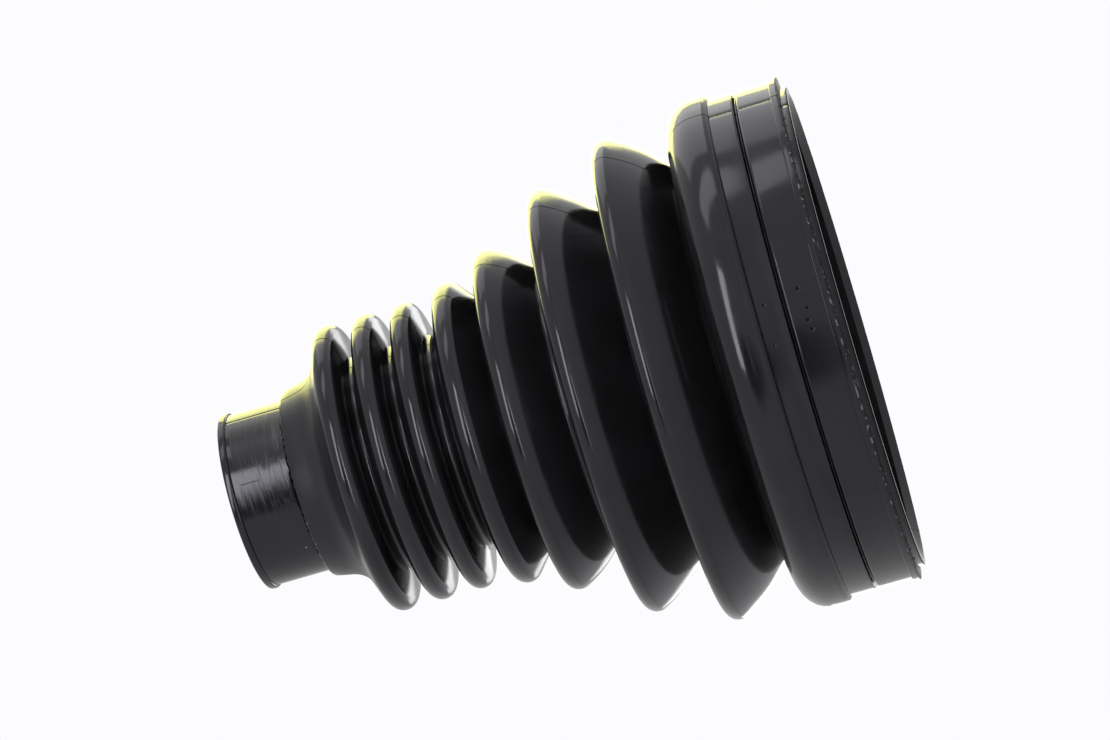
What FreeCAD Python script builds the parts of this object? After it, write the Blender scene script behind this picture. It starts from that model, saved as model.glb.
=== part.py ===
import FreeCAD, Part
import os
from math import acos, atan2, cos, pi, radians, sin

# Rubber bellows boot, moulded in one piece. Sizes are in millimetres.
# It stands on the face of its large end, and heights run up the axis from that face.

# Large end: a mouth that grips a joint housing, and a clamp seat split by a narrow groove
housing_bore_diameter = 88.0
housing_chamfer_height = 1.5
housing_chamfer_depth = 0.9
end_lip_diameter = 92.2
end_lip_height = 1.4
flange_diameter = 97.0
flange_width = 1.45
housing_seat_diameter = 96.0
lower_seat_width = 6.5
groove_width = 0.5
groove_diameter = 93.0
upper_seat_width = 4.65
rim_edge_bend = 0.25
groove_upper_bend = 0.4
groove_lower_bend = 0.6

# Shoulder above the clamp seat
shoulder_diameter = 98.1
shoulder_width = 9.1
shoulder_bend = 6.0
shoulder_edge_bend = 1.2
shoulder_wall = 2.2
shoulder_inner_bend = 3.0

# Folds, counted from the small end. A back flank runs from a crest down to the root
# below it, and a front flank from a root down to the next crest.
fold_wall = 1.4
sharpest_inner_bend = 0.3
small_fold_count = 3
small_fold_pitch = 7.6
small_crest_diameter = 55.8
small_root_diameter = 41.0
small_tip_bend = 2.1
small_root_bend = 1.1

fourth_crest_diameter = 58.5
fourth_root_diameter = 47.2
fourth_front_rise = 5.0
fourth_back_rise = 6.4
fourth_tip_bend = 2.4

fifth_crest_diameter = 66.2
fifth_root_diameter = 54.2
fifth_front_rise = 2.6
fifth_back_rise = 9.0
fifth_belly_bend = 20.0
fifth_belly_angle = 24.0

sixth_crest_diameter = 82.1
sixth_root_diameter = 66.6
sixth_front_rise = 4.0
sixth_back_rise = 11.2
sixth_belly_bend = 25.0
sixth_belly_angle = 27.0

seventh_crest_diameter = 93.2
seventh_root_diameter = 75.4
seventh_front_rise = 3.0
seventh_back_rise = 11.7
seventh_belly_bend = 28.0
seventh_belly_angle = 28.0

large_tip_bend = 2.2
large_root_bend = 0.9
last_root_offset = 0.2

# Small end: a collar that flares into the first fold, a clamp seat and an end lip
flare_rise = 9.1
flare_diameter = 37.2
flare_bend = 5.8
collar_diameter = 36.3
collar_land = 2.4
collar_edge_bend = 0.9
shaft_seat_diameter = 33.3
shaft_seat_width = 10.95
shaft_lip_diameter = 34.3
shaft_lip_width = 1.45
shaft_lip_bend = 0.45
shaft_bore_diameter = 27.0
shaft_chamfer_height = 0.8
shaft_chamfer_depth = 0.5
neck_drop = 0.9
neck_bend = 1.5

# Locating beads inside the two mouths, which snap into grooves of the housing and shaft
housing_bead_height = 10.0
housing_bead_rise = 0.8
housing_bead_width = 2.8
shaft_bead_depth = 8.0
shaft_bead_rise = 0.6
shaft_bead_width = 2.2

# A line or a turn that is smaller than this is left out of the section
smallest_step = 1e-6

part_name = "bellows_boot"


# A round is (height, radius, bend): the centre of an arc and its signed bend radius.
# The outline passes outside a round with a positive bend and inside a negative one.
# A round with no bend is a sharp corner.

def crest(height, radius, bend):
    return (height, radius - bend, bend)


def root(height, radius, bend):
    return (height, radius + bend, -bend)


def corner(height, radius):
    return (height, radius, 0.0)


def belly(tip, bend, angle):
    """The large arc that carries on from a crest's tip, at an angle from straight out."""
    height, radius, tip_bend = tip
    reach = bend - tip_bend
    return (height + reach * sin(radians(angle)), radius - reach * cos(radians(angle)), bend)


def tip_round(height, diameter, bend, depth):
    """A crest's tip on the face that lies at a depth below the outer face."""
    return crest(height, diameter / 2 - depth, max(bend - depth, sharpest_inner_bend))


def root_round(height, diameter, bend, depth):
    """A root's bottom on the face that lies at a depth below the outer face."""
    return root(height, diameter / 2 - depth, bend + depth)


def facing(first, second):
    """The angle, from up the axis to outwards, that the tangent of two rounds faces."""
    rise = second[0] - first[0]
    reach = second[1] - first[1]
    apart = (rise ** 2 + reach ** 2) ** 0.5
    return atan2(reach, rise) - acos(round((first[2] - second[2]) / apart, 9))


def on_round(round_, angle):
    height, radius, bend = round_
    return FreeCAD.Vector(radius + bend * sin(angle), 0, height + bend * cos(angle))


def outline(rounds):
    """Tangent lines and arcs that follow the rounds from the small end to the large."""
    angles = [facing(a, b) for a, b in zip(rounds, rounds[1:])]
    edges = []
    for index, angle in enumerate(angles):
        start = on_round(rounds[index], angle)
        end = on_round(rounds[index + 1], angle)
        if start.distanceToPoint(end) > smallest_step:
            edges.append(Part.makeLine(start, end))
        last = index + 1 == len(angles)
        if last or rounds[index + 1][2] == 0:
            continue
        turn = (angles[index + 1] - angle + pi) % (2 * pi) - pi
        if abs(turn) < smallest_step:
            continue
        middle = on_round(rounds[index + 1], angle + turn / 2)
        after = on_round(rounds[index + 1], angle + turn)
        edges.append(Part.Arc(end, middle, after).toShape())
    return edges


# Heights of the large end's steps
flange_top = end_lip_height + flange_width
groove_bottom = flange_top + lower_seat_width
groove_top = groove_bottom + groove_width
seat_top = groove_top + upper_seat_width
shoulder_top = seat_top + shoulder_width

# Crests and roots, from the seventh fold at the bottom up to the first
seventh_root_height = shoulder_top + last_root_offset
seventh_crest_height = seventh_root_height + seventh_back_rise
sixth_root_height = seventh_crest_height + seventh_front_rise
sixth_crest_height = sixth_root_height + sixth_back_rise
fifth_root_height = sixth_crest_height + sixth_front_rise
fifth_crest_height = fifth_root_height + fifth_back_rise
fourth_root_height = fifth_crest_height + fifth_front_rise
fourth_crest_height = fourth_root_height + fourth_back_rise
third_root_height = fourth_crest_height + fourth_front_rise
first_crest_height = third_root_height + small_fold_pitch * (small_fold_count - 0.5)

# Heights of the small end's steps
flare_height = first_crest_height + flare_rise
collar_top = flare_height + collar_land
shaft_lip_bottom = collar_top + shaft_seat_width
boot_height = shaft_lip_bottom + shaft_lip_width


def small_folds(depth):
    """The equal folds next to the small end, as tip and root in turn."""
    rounds = []
    for index in range(small_fold_count):
        height = first_crest_height - index * small_fold_pitch
        rounds.append(tip_round(height, small_crest_diameter, small_tip_bend, depth))
        height -= small_fold_pitch / 2
        rounds.append(root_round(height, small_root_diameter, small_root_bend, depth))
    return rounds


def grown_folds(depth):
    """The four wider folds: each has a tip, the belly of its back flank, and a root."""
    rounds = []
    for fold in (
        (fourth_crest_height, fourth_crest_diameter, fourth_tip_bend, None, None,
         fourth_root_height, fourth_root_diameter),
        (fifth_crest_height, fifth_crest_diameter, large_tip_bend, fifth_belly_bend,
         fifth_belly_angle, fifth_root_height, fifth_root_diameter),
        (sixth_crest_height, sixth_crest_diameter, large_tip_bend, sixth_belly_bend,
         sixth_belly_angle, sixth_root_height, sixth_root_diameter),
        (seventh_crest_height, seventh_crest_diameter, large_tip_bend, seventh_belly_bend,
         seventh_belly_angle, seventh_root_height, seventh_root_diameter),
    ):
        tip_height, tip_diameter, tip_bend, belly_bend, angle, root_height, root_diameter = fold
        tip = tip_round(tip_height, tip_diameter, tip_bend, depth)
        rounds.append(tip)
        if belly_bend is not None:
            rounds.append(belly(tip, belly_bend - depth, angle))
        rounds.append(root_round(root_height, root_diameter, large_root_bend, depth))
    return rounds


def folded_wall(depth):
    """The flare and all the folds, on the face at a depth below the outer face."""
    flare = root_round(flare_height, flare_diameter, flare_bend, depth)
    return [flare] + small_folds(depth) + grown_folds(depth)


def small_end_outside():
    seat_radius = shaft_seat_diameter / 2
    lip_radius = shaft_lip_diameter / 2
    return [
        corner(boot_height, shaft_bore_diameter / 2 + shaft_chamfer_depth),
        crest(boot_height - shaft_lip_bend, lip_radius, shaft_lip_bend),
        crest(shaft_lip_bottom + shaft_lip_bend, lip_radius, shaft_lip_bend),
        corner(shaft_lip_bottom, seat_radius),
        corner(collar_top, seat_radius),
        crest(collar_top - collar_edge_bend, collar_diameter / 2, collar_edge_bend),
    ]


def large_end_outside():
    seat_radius = housing_seat_diameter / 2
    flange_radius = flange_diameter / 2
    lip_radius = end_lip_diameter / 2
    shoulder_radius = shoulder_diameter / 2
    groove_middle = (groove_bottom + groove_top) / 2
    return [
        crest(shoulder_top - shoulder_bend, shoulder_radius, shoulder_bend),
        crest(seat_top + shoulder_edge_bend, shoulder_radius, shoulder_edge_bend),
        corner(seat_top, seat_radius),
        crest(groove_top + groove_upper_bend, seat_radius, groove_upper_bend),
        root(groove_middle, groove_diameter / 2, groove_width / 2),
        crest(groove_bottom - groove_lower_bend, seat_radius, groove_lower_bend),
        corner(flange_top, seat_radius),
        crest(flange_top - rim_edge_bend, flange_radius, rim_edge_bend),
        crest(end_lip_height + rim_edge_bend, flange_radius, rim_edge_bend),
        corner(end_lip_height, lip_radius),
        crest(rim_edge_bend, lip_radius, rim_edge_bend),
        corner(0, housing_bore_diameter / 2 + housing_chamfer_depth),
    ]


def bead(height, bore_radius, rise, width):
    """A rounded rib inside a bore."""
    return [
        corner(height + width / 2, bore_radius),
        root(height, bore_radius - rise, rise),
        corner(height - width / 2, bore_radius),
    ]


def small_end_inside():
    bore_radius = shaft_bore_diameter / 2
    bead_height = boot_height - shaft_bead_depth
    return [
        corner(boot_height, bore_radius + shaft_chamfer_depth),
        corner(boot_height - shaft_chamfer_height, bore_radius),
        *bead(bead_height, bore_radius, shaft_bead_rise, shaft_bead_width),
        root(collar_top - neck_drop, bore_radius, neck_bend),
    ]


def large_end_inside():
    bore_radius = housing_bore_diameter / 2
    inner_top = shoulder_top - shoulder_wall
    return [
        crest(inner_top - shoulder_inner_bend, bore_radius, shoulder_inner_bend),
        *bead(housing_bead_height, bore_radius, housing_bead_rise, housing_bead_width),
        corner(housing_chamfer_height, bore_radius),
        corner(0, bore_radius + housing_chamfer_depth),
    ]


def bellows_boot():
    """The whole boot: its closed section, turned once round the axis."""
    outside = outline(small_end_outside() + folded_wall(0) + large_end_outside())
    inside = outline(small_end_inside() + folded_wall(fold_wall) + large_end_inside())
    section = Part.Face(Part.Wire(Part.__sortEdges__(outside + inside)))
    return section.revolve(FreeCAD.Vector(0, 0, 0), FreeCAD.Vector(0, 0, 1), 360)


os.makedirs("parts", exist_ok=True)
boot = bellows_boot()
boot.exportStep("parts/" + part_name + ".step")
print("height", round(boot_height, 2), "mm, volume", round(boot.Volume / 1000, 1), "cm3")
print("valid", boot.isValid(), "type", boot.ShapeType, "faces", len(boot.Faces))
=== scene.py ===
from math import acos, atan2, ceil, cos, pi, radians, sin

import bpy
from mathutils import Matrix, Vector


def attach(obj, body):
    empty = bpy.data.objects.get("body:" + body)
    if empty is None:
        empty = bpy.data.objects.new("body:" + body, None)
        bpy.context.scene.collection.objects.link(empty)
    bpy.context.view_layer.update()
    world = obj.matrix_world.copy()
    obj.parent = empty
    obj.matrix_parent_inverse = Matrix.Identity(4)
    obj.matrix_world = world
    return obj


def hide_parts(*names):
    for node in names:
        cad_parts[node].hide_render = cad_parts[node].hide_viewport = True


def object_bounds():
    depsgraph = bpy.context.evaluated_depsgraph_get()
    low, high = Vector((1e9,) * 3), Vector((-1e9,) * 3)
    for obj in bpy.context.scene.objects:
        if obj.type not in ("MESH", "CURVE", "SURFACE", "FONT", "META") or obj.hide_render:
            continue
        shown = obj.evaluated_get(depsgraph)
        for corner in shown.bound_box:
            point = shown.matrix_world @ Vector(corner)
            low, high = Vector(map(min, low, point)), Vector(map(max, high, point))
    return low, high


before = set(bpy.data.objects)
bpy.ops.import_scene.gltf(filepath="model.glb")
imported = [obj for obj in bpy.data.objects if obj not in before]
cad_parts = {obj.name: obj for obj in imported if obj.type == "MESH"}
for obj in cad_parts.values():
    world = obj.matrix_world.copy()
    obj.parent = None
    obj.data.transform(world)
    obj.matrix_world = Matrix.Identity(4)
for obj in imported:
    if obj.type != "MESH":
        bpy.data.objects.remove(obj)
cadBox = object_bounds()

mm = 0.001  # lengths below are in millimetres, and mm turns them into Blender's metres
print("CAD box in mm:", [[round(c / mm, 2) for c in corner] for corner in cadBox])


# Helpers

def linear(hexColour):
    # an sRGB hex colour as the linear values that Blender's sockets take
    parts = [int(hexColour[i:i + 2], 16) / 255 for i in (1, 3, 5)]
    return [p / 12.92 if p <= 0.04045 else ((p + 0.055) / 1.055) ** 2.4 for p in parts] + [1]


def addNode(tree, kind, inputs=None, **settings):
    # an input takes a value, a socket, or a node, which stands for its first output in use
    node = tree.nodes.new(kind)
    for name, value in settings.items():
        setattr(node, name, value)
    for name, value in (inputs or {}).items():
        if isinstance(value, bpy.types.Node):
            value = next(output for output in value.outputs if output.enabled)
        if isinstance(value, bpy.types.NodeSocket):
            tree.links.new(value, node.inputs[name])
        else:
            node.inputs[name].default_value = value
    return node


def newMaterial(name):
    material = bpy.data.materials.new(name)
    material.use_nodes = True
    material.node_tree.nodes.clear()
    return material


def deselectAll():
    if bpy.context.object and bpy.context.object.mode != "OBJECT":
        bpy.ops.object.mode_set(mode="OBJECT")
    bpy.ops.object.select_all(action="DESELECT")


# Camera: the photo was taken from beside the large end, with the boot on its side in the picture

photoCamera = {
    "place": (307.4, -668.4, -23.4),
    "aim": (7.0, 3.2, 56.4),
    "roll": -106.22,   # degrees, turns the boot's axis to where it lies in the photo
    "lens": 128.1,
    "sensor": 36,
    "nearest": 10,     # what it sees begins and ends at these distances
    "farthest": 20000,
}

deselectAll()
bpy.ops.object.camera_add()
camera = bpy.context.object
camera.name = "photoCamera"
place = Vector(photoCamera["place"]) * mm
look = Vector(photoCamera["aim"]) * mm - place
camera.location = place
turn = look.to_track_quat("-Z", "Y").to_matrix() @ Matrix.Rotation(radians(photoCamera["roll"]), 3, "Z")
camera.rotation_euler = turn.to_euler()
camera.data.lens = photoCamera["lens"]
camera.data.sensor_width = photoCamera["sensor"]
camera.data.clip_start = photoCamera["nearest"] * mm
camera.data.clip_end = photoCamera["farthest"] * mm
bpy.context.scene.camera = camera
print("camera set")


# Boot shell: the moulded rubber skin, drawn as a section and spun round the axis

bootShell = {
    "wall": 1.4,
    "sharpestInnerBend": 0.3,
    "facesAround": 192,
    "arcStep": 14,        # most degrees of an arc between two points
    "longestChord": 1.7,  # and most millimetres
    "smoothAngle": 30,    # edges that turn by more degrees stay sharp
    "weld": 0.002,        # points closer than this become one
    "tolerance": 0.001,   # places closer than this count as the same
    # each round is its height, the radius that it reaches and its bend; a root's bend is negative
    "smallEnd": [
        (119.6, 14.0, 0), (119.15, 17.15, 0.45), (118.6, 17.15, 0.45),
        (118.15, 16.65, 0), (107.2, 16.65, 0), (106.3, 18.15, 0.9),
    ],
    "flare": (104.8, 18.6, -5.8),
    "smallFolds": 3,
    "smallPitch": 7.6,
    "smallTip": (95.7, 27.9, 2.1),
    "smallRoot": (91.9, 20.5, -1.1),
    # tip, belly (bend and angle from straight out) and root of each wider fold
    "widerFolds": [
        ((71.7, 29.25, 2.4), None, (65.3, 23.6, -0.9)),
        ((62.7, 33.1, 2.2), (20, 24), (53.7, 27.1, -0.9)),
        ((49.7, 41.05, 2.2), (25, 27), (38.5, 33.3, -0.9)),
        ((35.5, 46.6, 2.2), (28, 28), (23.8, 37.7, -0.9)),
    ],
    "largeEnd": [
        (17.6, 49.05, 6.0), (15.7, 49.05, 1.2), (14.5, 48.0, 0),
        (10.25, 48.0, 0.4), (9.6, 46.5, -0.25), (8.75, 48.0, 0.6),
        (2.85, 48.0, 0), (2.6, 48.5, 0.25), (1.65, 48.5, 0.25), (1.4, 46.1, 0),
        (0.25, 46.1, 0.25), (0, 44.9, 0),
    ],
    "smallBore": [
        (119.6, 14.0, 0), (118.8, 13.5, 0), (112.7, 13.5, 0), (111.6, 12.9, -0.6),
        (110.5, 13.5, 0), (106.3, 13.5, -1.5),
    ],
    "largeBore": [
        (18.4, 44.0, 3.0), (11.4, 44.0, 0), (10.0, 43.2, -0.8), (8.6, 44.0, 0),
        (1.5, 44.0, 0), (0, 44.9, 0),
    ],
    "partingWidth": 0.3,  # the fine groove left where the mould halves met and the flash was torn off
    "partingDepth": 0.09,
}


def centred(reached):
    # a round by its centre instead of by the radius that it reaches
    height, radius, bend = reached
    return (height, radius - bend, bend)


def atDepth(reached, depth):
    # the same round on the face that lies at a depth below the outside
    height, radius, bend = reached
    if bend > 0:
        bend = max(bend - depth, bootShell["sharpestInnerBend"])
    else:
        bend -= depth
    return centred((height, radius - depth, bend))


def foldedWall(depth):
    rounds = [atDepth(bootShell["flare"], depth)]
    for index in range(bootShell["smallFolds"]):
        for height, radius, bend in (bootShell["smallTip"], bootShell["smallRoot"]):
            drop = index * bootShell["smallPitch"]
            rounds.append(atDepth((height - drop, radius, bend), depth))
    for tip, belly, root in bootShell["widerFolds"]:
        tipRound = atDepth(tip, depth)
        rounds.append(tipRound)
        if belly:
            bend, lean = belly[0] - depth, radians(belly[1])
            reach = bend - tipRound[2]
            rounds.append((tipRound[0] + reach * sin(lean), tipRound[1] - reach * cos(lean), bend))
        rounds.append(atDepth(root, depth))
    return rounds


def facing(first, second):
    # the direction, from up the axis to outwards, that the tangent of two rounds faces
    rise, reach = second[0] - first[0], second[1] - first[1]
    apart = (rise ** 2 + reach ** 2) ** 0.5
    return atan2(reach, rise) - acos(round((first[2] - second[2]) / apart, 9))


def onRound(reached, direction):
    height, radius, bend = reached
    return Vector((radius + bend * sin(direction), 0, height + bend * cos(direction))) * mm


def drawSection(rounds):
    # from one point, straight runs are extruded and arcs are spun, down to the large end
    directions = [facing(a, b) for a, b in zip(rounds, rounds[1:])]
    here = onRound(rounds[0], directions[0])
    bpy.ops.mesh.primitive_plane_add(size=mm, location=(0, 0, 0))
    bpy.ops.object.mode_set(mode="EDIT")
    bpy.ops.mesh.select_all(action="SELECT")
    bpy.ops.mesh.merge(type="CENTER")
    bpy.ops.transform.translate(value=here)
    for index, direction in enumerate(directions):
        goal = onRound(rounds[index + 1], direction)
        if (goal - here).length > bootShell["tolerance"] * mm:
            bpy.ops.mesh.extrude_region_move(TRANSFORM_OT_translate={"value": goal - here})
        here = goal
        height, radius, bend = rounds[index + 1]
        if index + 1 == len(directions) or bend == 0:
            continue
        turnBy = (directions[index + 1] - direction + pi) % (2 * pi) - pi
        step = min(radians(bootShell["arcStep"]), bootShell["longestChord"] / abs(bend))
        steps = ceil(abs(turnBy) / step)
        if steps:
            bpy.ops.mesh.spin(
                steps=steps, angle=turnBy, center=(radius * mm, 0, height * mm), axis=(0, -1, 0))
        here = onRound(rounds[index + 1], direction + turnBy)


def spinSection(name):
    piece = bpy.context.object
    piece.name = name
    bpy.ops.mesh.select_all(action="SELECT")
    bpy.ops.mesh.spin(
        steps=bootShell["facesAround"], angle=2 * pi, center=(0, 0, 0), axis=(0, 0, 1))
    bpy.ops.mesh.select_all(action="SELECT")
    bpy.ops.mesh.remove_doubles(threshold=bootShell["weld"] * mm)
    bpy.ops.object.mode_set(mode="OBJECT")
    print(name + ":", len(piece.data.polygons), "faces")
    return piece


def inPartingPlane(vertex):
    # the plane where the mould halves meet holds the boot's axis and X
    return abs(vertex.co.y) < bootShell["tolerance"] * mm


deselectAll()
drawSection(
    [centred(r) for r in bootShell["smallEnd"]] + foldedWall(0)
    + [centred(r) for r in bootShell["largeEnd"]])
outerSkin = spinSection("outerSkin")
for edge in outerSkin.data.edges:
    edge.use_seam = all(inPartingPlane(outerSkin.data.vertices[end]) for end in edge.vertices)

deselectAll()
drawSection(
    [centred(r) for r in bootShell["smallBore"]] + foldedWall(bootShell["wall"])
    + [centred(r) for r in bootShell["largeBore"]])
innerSkin = spinSection("innerSkin")

deselectAll()
innerSkin.select_set(True)
outerSkin.select_set(True)
bpy.context.view_layer.objects.active = outerSkin
bpy.ops.object.join()
boot = outerSkin
boot.name = "boot_shell"
bpy.ops.object.mode_set(mode="EDIT")
bpy.ops.mesh.select_all(action="SELECT")
bpy.ops.mesh.remove_doubles(threshold=bootShell["weld"] * mm)
bpy.ops.mesh.normals_make_consistent(inside=False)
bpy.ops.mesh.select_all(action="DESELECT")
bpy.ops.object.mode_set(mode="OBJECT")

# the parting line becomes a fine groove: a narrow bevel whose middle is pushed in
for edge in boot.data.edges:
    edge.select = edge.use_seam
bpy.ops.object.mode_set(mode="EDIT")
bpy.ops.mesh.select_mode(type="EDGE")
bpy.ops.mesh.bevel(
    offset=bootShell["partingWidth"] / 2 * mm, segments=2, affect="EDGES", clamp_overlap=False)
bpy.ops.mesh.select_mode(type="VERT")
bpy.ops.object.mode_set(mode="OBJECT")
for vertex in boot.data.vertices:
    vertex.select = vertex.select and inPartingPlane(vertex)
for edge in boot.data.edges:
    edge.select = False
for face in boot.data.polygons:
    face.select = False
bpy.ops.object.mode_set(mode="EDIT")
bpy.ops.transform.shrink_fatten(value=-bootShell["partingDepth"] * mm)
bpy.ops.mesh.select_all(action="DESELECT")
bpy.ops.object.mode_set(mode="OBJECT")
bpy.ops.object.shade_smooth_by_angle(angle=radians(bootShell["smoothAngle"]))
print("boot shell:", len(boot.data.polygons), "faces")


# Rubber: chloroprene compound pressed in a polished steel mould. Carbon black makes it nearly
# black, the polish gives a soft satin gloss, and turning marks of the mould run round the seats.
# Around is in degrees round the axis: 0 is the front, where -Y points, and 90 is the +X side.

rubberLook = {
    "black": "#18181A",
    "blackest": "#121213",
    "ior": 1.5,
    "shine": (0.5, 0.06),  # specular level of clean rubber, and of pits, dirt and the parting line
    "bloom": "#F4F2FF",    # wax that has come to the surface cools the shine a little
    # patterns: a real size and levels that raise the contrast; along draws one out round the axis
    "smudges": {"size": 14, "detail": 4, "rough": 0.6, "levels": (0.35, 0.65)},
    # gives is the roughness of the cleanest and the dullest places
    "gloss": {"size": 7, "detail": 5, "rough": 0.62, "levels": (0.3, 0.7), "gives": (0.10, 0.17)},
    # the real grain, about 0.15 mm, is too fine for the picture and is drawn coarser
    "grain": {"size": 0.45, "detail": 1, "height": 0.0018},
    # slight unevenness of a wall that came out of the mould warm
    "wave": {"size": 24, "detail": 1, "height": 0.03},
    "turning": {"size": 0.5, "detail": 1, "along": 90, "height": 0.0012},
    # fields: heights and around, which fade out over soft millimetres and degrees
    "flare": {"heights": (98.5, 106.2), "around": (-180, 180), "soft": (1.5, 1), "dull": 0.22},
    # pale flecks in the corner under the flange: partly torn flash and dust, partly a painted highlight
    # along that edge
    "flecksAndHighlight": {
        "heights": (1.0, 1.7), "around": (-60, 120), "soft": (0.1, 10), "dull": 0.6,
        "size": 0.6, "detail": 2, "rough": 0.6, "along": 2, "levels": (0.57, 0.63)},
    "fleckAndHighlightPale": "#7C7C7E",
    # small blisters that broke: height, around, radius, depth
    "pits": [
        (6.54, 35.6, 0.50, 0.16), (5.77, 31.1, 0.42, 0.14), (6.28, 28.6, 0.48, 0.16),
        (6.03, 26.6, 0.50, 0.16), (13.05, 34.1, 0.40, 0.08), (13.05, 25.6, 0.34, 0.07),
    ],
    "pitRadius": 48.0,             # of the band that they are in
    "pitDull": 0.4,
    "spotCore": 0.3,               # the share of a pit or crumb that is at its full depth or height
    "partingShade": (0.16, 0.08),  # so far from the parting line its dark starts, and is full
}

# wear and dirt of the small clamp seat, which reaches from its collar to the end lip, and the painted
# shade in the corner under its collar
seatWearAndShade = {
    "radius": 16.65,
    # scraped round the axis by a band
    "scuffs": {
        "heights": (107.5, 117.4), "around": (12, 98), "soft": (0.15, 8), "dull": 0.18,
        "size": 0.38, "detail": 2, "rough": 0.6, "along": 18, "height": 0.012},
    "scuffLevels": (0.5, 0.72),
    "scuffGrey": "#2B2B2C",
    # scratched dull by the clamp that sat here
    "worn": {"heights": (107.5, 117.4), "around": (51, 82), "soft": (0.15, 5), "dull": 0.2},
    # rubbed paler by the edge of a clamp
    "rubbed": {"heights": (107.6, 109.4), "around": (49, 74), "soft": (0.5, 5)},
    "rubbedLevels": (0.42, 0.6),
    "rubbedGrey": "#3A3A3B",
    # dirty films that dull the seat
    "film": {
        "soft": (0.7, 4), "dull": 0.3, "size": 1.4, "detail": 4, "rough": 0.7, "along": 2,
        "levels": (0.38, 0.6)},
    "filmPlaces": [
        {"heights": (107.2, 112.4), "around": (43, 52)},
        {"heights": (107.6, 112.8), "around": (12, 19)},
    ],
    "filmStain": 0.6,
    "wearDims": 0.3,            # the share of the shine that a film or a worn place takes
    # a ragged black band in the corner under the collar, partly dry grease and dirt and partly painted
    # shade of that corner, and where it lies thicker
    "grimeAndShade": {"heights": (106.7, 107.55), "around": (-32, 70), "soft": (0.3, 4), "dull": 0.6},
    "thickGrimeAndShade": {"heights": (106.7, 108.05), "around": (14, 36), "soft": (0.3, 6)},
    "thickShare": 0.35,
    "grimeAndShadeEdge": {"size": 1.3, "detail": 3, "rough": 0.65},
    "grimeAndShadeLevels": (0.44, 0.5),
    "grimeAndShadeHeight": 0.08,
    "grimeAndShadeBlack": "#050505",
    # crumbs of dried grease: height, around, size
    "crumbs": [
        (106.7, 2.1, 0.22), (108.9, -17.4, 0.30), (106.7, -12.9, 0.26), (107.1, -16.4, 0.22),
    ],
    "collarTop": 107.2,         # crumbs lower than this stick to the collar
    "collarRadius": 18.1,
    "crumbHeight": 0.08,
    "crumbDull": 0.6,
    "crumbPale": "#77777A",
    # one scratch up the seat, 0.16 mm wide
    "scratch": {
        "heights": (113.0, 116.5), "around": (35.825, 36.375), "soft": (0.4, 0.184),
        "size": 0.9, "detail": 2, "levels": (0.3, 0.55), "height": -0.04},
}

rubber = newMaterial("pressMouldedRubber")
rubberNodes = rubber.node_tree
coordinates = addNode(rubberNodes, "ShaderNodeTexCoord").outputs["Object"]
axes = addNode(rubberNodes, "ShaderNodeSeparateXYZ", {"Vector": coordinates})
forward = addNode(rubberNodes, "ShaderNodeMath", {0: axes.outputs["Y"], 1: -1}, operation="MULTIPLY")
aroundAxis = addNode(
    rubberNodes, "ShaderNodeMath", {0: axes.outputs["X"], 1: forward}, operation="ARCTAN2")


def mottle(pattern):
    # a cloudy pattern of a real size
    along = pattern.get("along", 1)
    stretched = addNode(rubberNodes, "ShaderNodeMapping", {
        "Vector": coordinates, "Scale": (1 / along, 1 / along, 1)}, vector_type="POINT")
    cloud = addNode(rubberNodes, "ShaderNodeTexNoise", {
        "Vector": stretched, "Scale": 1 / (pattern["size"] * mm), "Detail": pattern["detail"],
        "Roughness": pattern.get("rough", 0.5)})
    if "levels" not in pattern:
        return cloud
    (low, high), (least, most) = pattern["levels"], pattern.get("gives", (0, 1))
    return addNode(rubberNodes, "ShaderNodeMapRange", {
        "Value": cloud, "From Min": low, "From Max": high, "To Min": least, "To Max": most},
        interpolation_type="SMOOTHSTEP")


def fieldOf(mark, pattern=1):
    # the pattern where the mark lies on the surface, and 0 around it
    inside = pattern
    for value, unit, (low, high), soft in (
            (axes.outputs["Z"], mm, mark["heights"], mark["soft"][0]),
            (aroundAxis, radians(1), mark["around"], mark["soft"][1])):
        for outer, inner in ((low - soft, low + soft), (high + soft, high - soft)):
            edge = addNode(rubberNodes, "ShaderNodeMapRange", {
                "Value": value, "From Min": outer * unit, "From Max": inner * unit},
                interpolation_type="SMOOTHSTEP")
            inside = addNode(rubberNodes, "ShaderNodeMath", {0: inside, 1: edge}, operation="MULTIPLY")
    return inside


def spotAt(height, around, radius, size):
    # 1 at a point of the surface, fading to 0 at its size
    spot = Vector((sin(radians(around)) * radius, -cos(radians(around)) * radius, height)) * mm
    apart = addNode(rubberNodes, "ShaderNodeVectorMath", {0: coordinates, 1: spot}, operation="DISTANCE")
    return addNode(rubberNodes, "ShaderNodeMapRange", {
        "Value": apart, "From Min": size * mm, "From Max": size * rubberLook["spotCore"] * mm},
        interpolation_type="SMOOTHSTEP")


def addUp(marks, start=0):
    # the start and every mark times its weight
    for mark, weight in marks:
        start = addNode(
            rubberNodes, "ShaderNodeMath", {0: mark, 1: weight, 2: start}, operation="MULTIPLY_ADD")
    return start


# marks, each 1 where it is strongest
pits = [
    (spotAt(height, around, rubberLook["pitRadius"], size), -depth * mm)
    for height, around, size, depth in rubberLook["pits"]]
pitted = addUp([(spot, 1) for spot, dent in pits])

scuffLines = mottle(seatWearAndShade["scuffs"])
raised = {}
for name in ("scuffLevels", "rubbedLevels"):
    low, high = seatWearAndShade[name]
    raised[name] = addNode(rubberNodes, "ShaderNodeMapRange", {
        "Value": scuffLines, "From Min": low, "From Max": high}, interpolation_type="SMOOTHSTEP")
scuffed = fieldOf(seatWearAndShade["scuffs"], raised["scuffLevels"])
rubbed = fieldOf(seatWearAndShade["rubbed"], raised["rubbedLevels"])
worn = fieldOf(seatWearAndShade["worn"])

# the black band under the collar: painted shade of that corner, partly dry grease, with a ragged edge
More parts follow.
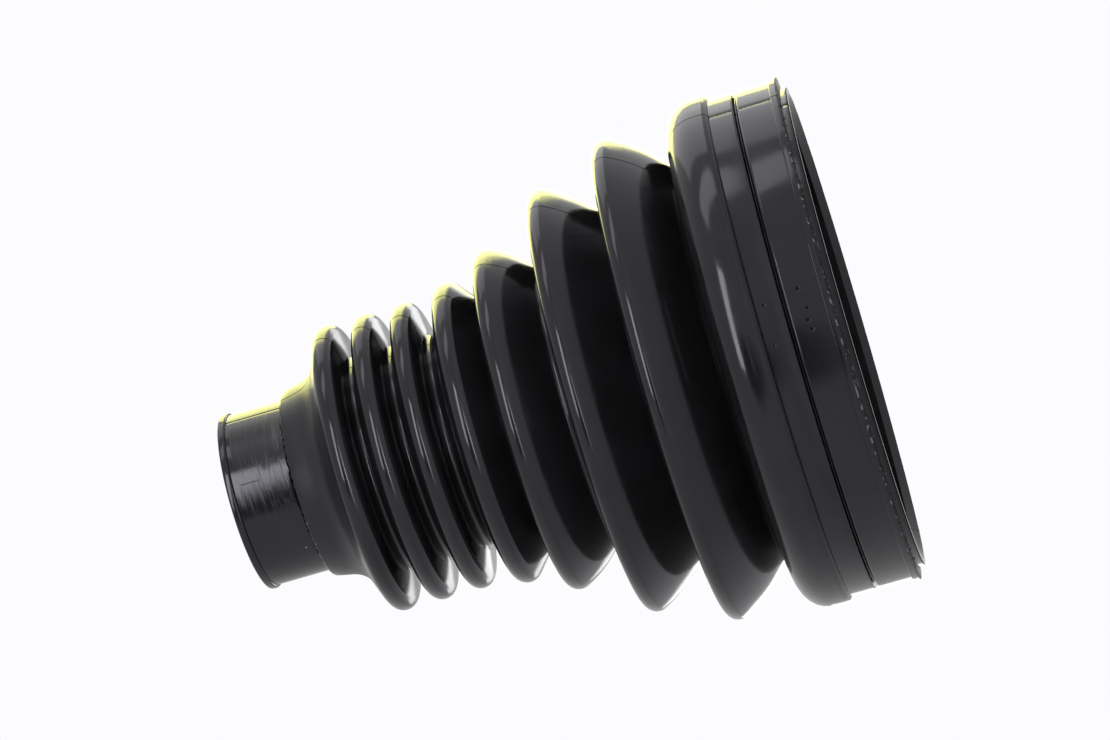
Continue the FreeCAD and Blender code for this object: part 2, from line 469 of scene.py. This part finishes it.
grimeAndShadeEdge = mottle(seatWearAndShade["grimeAndShadeEdge"])
grimeAndShadeSpread = addUp([
    (fieldOf(seatWearAndShade["grimeAndShade"], grimeAndShadeEdge), 1),
    (fieldOf(seatWearAndShade["thickGrimeAndShade"], grimeAndShadeEdge), seatWearAndShade["thickShare"])])
grimeAndShade = addNode(rubberNodes, "ShaderNodeMapRange", {
    "Value": grimeAndShadeSpread, "From Min": seatWearAndShade["grimeAndShadeLevels"][0], "From Max": seatWearAndShade["grimeAndShadeLevels"][1]},
    interpolation_type="SMOOTHSTEP")

filmPattern = mottle(seatWearAndShade["film"])
film = addUp([
    (fieldOf({**seatWearAndShade["film"], **where}, filmPattern), 1) for where in seatWearAndShade["filmPlaces"]])
stain = addUp([(film, seatWearAndShade["filmStain"])])

crumbs = 0
for height, around, size in seatWearAndShade["crumbs"]:
    radius = seatWearAndShade["collarRadius"] if height < seatWearAndShade["collarTop"] else seatWearAndShade["radius"]
    crumbs = addUp([(spotAt(height, around, radius, size), 1)], crumbs)

scratch = fieldOf(seatWearAndShade["scratch"], mottle(seatWearAndShade["scratch"]))
# pale flecks under the flange, partly torn flash and dust and partly a painted highlight along that edge
flecksAndHighlight = fieldOf(rubberLook["flecksAndHighlight"], mottle(rubberLook["flecksAndHighlight"]))
flare = fieldOf(rubberLook["flare"])

# relief in metres
relief = addUp(pits)
for name in ("grain", "wave", "turning"):
    relief = addUp([(mottle(rubberLook[name]), rubberLook[name]["height"] * mm)], relief)
relief = addUp([
    (fieldOf(seatWearAndShade["scuffs"], scuffLines), seatWearAndShade["scuffs"]["height"] * mm),
    (scratch, seatWearAndShade["scratch"]["height"] * mm),
    (grimeAndShade, seatWearAndShade["grimeAndShadeHeight"] * mm),
    (crumbs, seatWearAndShade["crumbHeight"] * mm)], relief)

colour = linear(rubberLook["blackest"])
for amount, shade in (
        (mottle(rubberLook["smudges"]), rubberLook["black"]),
        (scuffed, seatWearAndShade["scuffGrey"]),
        (rubbed, seatWearAndShade["rubbedGrey"]),
        (stain, seatWearAndShade["grimeAndShadeBlack"]),
        # painted shade under the collar, partly grease
        (grimeAndShade, seatWearAndShade["grimeAndShadeBlack"]),
        (crumbs, seatWearAndShade["crumbPale"]),
        (flecksAndHighlight, rubberLook["fleckAndHighlightPale"])):
    colour = addNode(rubberNodes, "ShaderNodeMix", {
        0: amount, 6: colour, 7: linear(shade)}, data_type="RGBA")

dullness = addUp([
    (pitted, rubberLook["pitDull"]),
    (scuffed, seatWearAndShade["scuffs"]["dull"]),
    (worn, seatWearAndShade["worn"]["dull"]),
    (film, seatWearAndShade["film"]["dull"]),
    (grimeAndShade, seatWearAndShade["grimeAndShade"]["dull"]),
    (crumbs, seatWearAndShade["crumbDull"]),
    (flecksAndHighlight, rubberLook["flecksAndHighlight"]["dull"]),
    (flare, rubberLook["flare"]["dull"])], mottle(rubberLook["gloss"]))

# little light comes back out of pits, dirt, the painted shade under the collar and the fine groove of the
# parting line
offPlane = addNode(rubberNodes, "ShaderNodeMath", {0: axes.outputs["Y"]}, operation="ABSOLUTE")
shadeStart, shadeFull = rubberLook["partingShade"]
partingLine = addNode(rubberNodes, "ShaderNodeMapRange", {
    "Value": offPlane, "From Min": shadeStart * mm, "From Max": shadeFull * mm},
    interpolation_type="SMOOTHSTEP")
swallowed = addUp([
    (pitted, 1), (grimeAndShade, 1), (partingLine, 1), (film, seatWearAndShade["wearDims"]), (worn, seatWearAndShade["wearDims"])])
shine = addNode(rubberNodes, "ShaderNodeMapRange", {
    "Value": swallowed, "To Min": rubberLook["shine"][0], "To Max": rubberLook["shine"][1]},
    interpolation_type="SMOOTHSTEP")

bump = addNode(rubberNodes, "ShaderNodeBump", {"Height": relief, "Strength": 1, "Distance": 1})
shader = addNode(rubberNodes, "ShaderNodeBsdfPrincipled", {
    "Base Color": colour,
    "Roughness": dullness,
    "IOR": rubberLook["ior"],
    "Specular IOR Level": shine,
    "Specular Tint": linear(rubberLook["bloom"]),
    "Normal": bump,
})
addNode(rubberNodes, "ShaderNodeOutputMaterial", {"Surface": shader})
boot.data.materials.clear()
boot.data.materials.append(rubber)
print("rubber made")


# Floor and light

studio = {
    "background": "#FCFCFE",
    "floor": "#E9E9EB",
    "floorDull": 0.9,
    "floorSize": 6000,
    "floorSides": 128,
    "floorHole": 92,      # open under the mouth, so that light gets inside from below
    "roomLight": 0.67,
    "roomColour": "#FFFFFF",
    # the side where the photographer stands is darker, round a direction, within some degrees
    "darkSide": {"around": 18, "up": 16, "core": 8, "edge": 19, "light": 0.12},
    # a box hangs in a direction round the boot and up, at a distance from the middle, or at a place;
    # its width runs round the boot, leaning by some degrees, and its strength is how bright it looks
    "softboxes": {
        "keySoftbox": {
            "around": 43, "up": 23.6, "distance": 359, "width": 275, "height": 80, "lean": -19.5,
            "strength": 5.6},
        # a strip with a honeycomb grid, low in front and turned up to the smaller folds
        "gridStrip": {
            "place": (87.0, -194.4, 50), "aim": (0, 0, 120), "width": 208, "height": 12,
            "strength": 1.7, "grid": 60},
        "sideSoftbox": {
            "around": 100, "up": 9.5, "distance": 900, "width": 240, "height": 520, "lean": 28.8,
            "strength": 1.75},
        "topSoftbox": {
            "around": 146, "up": 5, "distance": 500, "width": 445, "height": 500,
            "strength": 0.9},
        "backStrip": {
            "around": 204, "up": -7.6, "distance": 300, "width": 300, "height": 52,
            "strength": 1.8},
    },
    # pale yellow slats hang close behind the boot and draw the bright line along its rims. They
    # slope, so that the flanks that face the large end look between them.
    "rimSlats": {
        "frontEdge": ((47.9, 32.4), (7.4, 71.2)),
        "backEdge": ((49.6, 38.5), (11.2, 75.2)),
        "drop": 1.5,
        "stacks": [
            {"bottom": 2.5, "count": 102, "step": (0, 0, 1)},
            {"bottom": 104.5, "count": 40, "step": (-0.586, 0.561, 1)},
        ],
        "colour": "#FFFFA8",
        "strength": 4.5,
        "bounces": 1.5,   # only a ray that has bounced fewer times than this sees them
    },
}


def towards(around, up):
    # the direction to a place round the boot and above its middle, both in degrees
    around, up = radians(around), radians(up)
    return Vector((sin(around) * cos(up), -cos(around) * cos(up), sin(up)))


def showOneSide(tree, surface):
    # the surface on the side that its faces point to, and nothing on the other
    geometry = addNode(tree, "ShaderNodeNewGeometry")
    clear = addNode(tree, "ShaderNodeBsdfTransparent")
    oneSided = addNode(tree, "ShaderNodeMixShader", {
        0: geometry.outputs["Backfacing"], 1: surface, 2: clear})
    addNode(tree, "ShaderNodeOutputMaterial", {"Surface": oneSided})


# Floor board: hardboard rolled with matt emulsion, which gives no shine
deselectAll()
bpy.ops.mesh.primitive_circle_add(
    vertices=studio["floorSides"], radius=studio["floorHole"] / 2 * mm, location=(0, 0, 0))
floor = bpy.context.object
floor.name = "studioFloor"
bpy.ops.object.mode_set(mode="EDIT")
bpy.ops.mesh.select_all(action="SELECT")
bpy.ops.mesh.extrude_edges_move()
bpy.ops.transform.resize(value=[studio["floorSize"] / studio["floorHole"]] * 3)
bpy.ops.mesh.select_all(action="SELECT")
bpy.ops.mesh.normals_make_consistent(inside=False)
bpy.ops.object.mode_set(mode="OBJECT")
if floor.data.polygons[0].normal.z < 0:
    floor.data.flip_normals()
floorPaint = newMaterial("mattPaintedBoard")
paint = addNode(floorPaint.node_tree, "ShaderNodeBsdfPrincipled", {
    "Base Color": linear(studio["floor"]),
    "Roughness": studio["floorDull"],
    "Specular IOR Level": 0,
})
showOneSide(floorPaint.node_tree, paint)
floor.data.materials.append(floorPaint)

# Room: the camera sees an even white, and all else a softly lit room with its dark side
world = bpy.data.worlds.new("whiteStudio")
bpy.context.scene.world = world
world.use_nodes = True
roomNodes = world.node_tree
roomNodes.nodes.clear()
seen = addNode(roomNodes, "ShaderNodeBackground", {"Color": linear(studio["background"]), "Strength": 1})
darkSide = studio["darkSide"]
toDark = addNode(roomNodes, "ShaderNodeVectorMath", {
    0: addNode(roomNodes, "ShaderNodeTexCoord").outputs["Generated"],
    1: towards(darkSide["around"], darkSide["up"])}, operation="DOT_PRODUCT")
roomLight = addNode(roomNodes, "ShaderNodeMapRange", {
    "Value": toDark,
    "From Min": cos(radians(darkSide["edge"])), "From Max": cos(radians(darkSide["core"])),
    "To Min": studio["roomLight"], "To Max": darkSide["light"]}, interpolation_type="SMOOTHSTEP")
room = addNode(roomNodes, "ShaderNodeBackground", {
    "Color": linear(studio["roomColour"]), "Strength": roomLight})
backdrop = addNode(roomNodes, "ShaderNodeMixShader", {
    0: addNode(roomNodes, "ShaderNodeLightPath").outputs["Is Camera Ray"], 1: room, 2: seen})
addNode(roomNodes, "ShaderNodeOutputWorld", {"Surface": backdrop})

# Softboxes: each faces its aim, and its power follows from its strength and its size
middle = Vector((0, 0, (cadBox[0].z + cadBox[1].z) / 2))
for name, box in studio["softboxes"].items():
    if "place" in box:
        place, aim = Vector(box["place"]) * mm, Vector(box["aim"]) * mm
    else:
        place, aim = middle + towards(box["around"], box["up"]) * box["distance"] * mm, middle
    backward = (place - aim).normalized()
    sideways = Vector((0, 0, 1)).cross(backward).normalized()
    sideways = Matrix.Rotation(radians(box.get("lean", 0)), 3, backward) @ sideways
    upright = backward.cross(sideways)
    bpy.ops.object.light_add(type="AREA")
    lamp = bpy.context.object
    lamp.name = name
    lamp.location = place
    lamp.rotation_euler = Matrix((sideways, upright, backward)).transposed().to_euler()
    lamp.data.shape = "RECTANGLE"
    lamp.data.size = box["width"] * mm
    lamp.data.size_y = box["height"] * mm
    lamp.data.energy = box["strength"] * pi * lamp.data.size * lamp.data.size_y
    lamp.data.spread = radians(box.get("grid", 180))
    lamp.visible_camera = False

# Slats: strips of opal acrylic lit from behind, which glow evenly on their underside
slats = studio["rimSlats"]
slatFace = newMaterial("litYellowSlats")
slatNodes = slatFace.node_tree
bounced = addNode(slatNodes, "ShaderNodeLightPath").outputs["Ray Depth"]
early = addNode(slatNodes, "ShaderNodeMath", {0: bounced, 1: slats["bounces"]}, operation="LESS_THAN")
strength = addNode(slatNodes, "ShaderNodeMath", {0: early, 1: slats["strength"]}, operation="MULTIPLY")
showOneSide(slatNodes, addNode(slatNodes, "ShaderNodeEmission", {
    "Color": linear(slats["colour"]), "Strength": strength}))
for stack in slats["stacks"]:
    deselectAll()
    bpy.ops.mesh.primitive_plane_add(size=1, location=(0, 0, 0))
    slat = bpy.context.object
    slat.name = "rimSlats"
    corners = [(*corner, stack["bottom"]) for corner in slats["frontEdge"]]
    corners += [(*corner, stack["bottom"] - slats["drop"]) for corner in slats["backEdge"]]
    for vertex, corner in zip(slat.data.vertices, corners):
        vertex.co = Vector(corner) * mm
    if slat.data.polygons[0].normal.z > 0:
        slat.data.flip_normals()
    row = slat.modifiers.new("stack", "ARRAY")
    row.count = stack["count"]
    row.use_relative_offset = False
    row.use_constant_offset = True
    row.constant_offset_displace = Vector(stack["step"]) * mm
    slat.visible_camera = False
    slat.visible_diffuse = False
    slat.visible_shadow = False
    slat.data.materials.append(slatFace)
print("floor and lights set")

bpy.context.scene.view_settings.view_transform = "Standard"

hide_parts("bellows_boot")
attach(boot, "root")
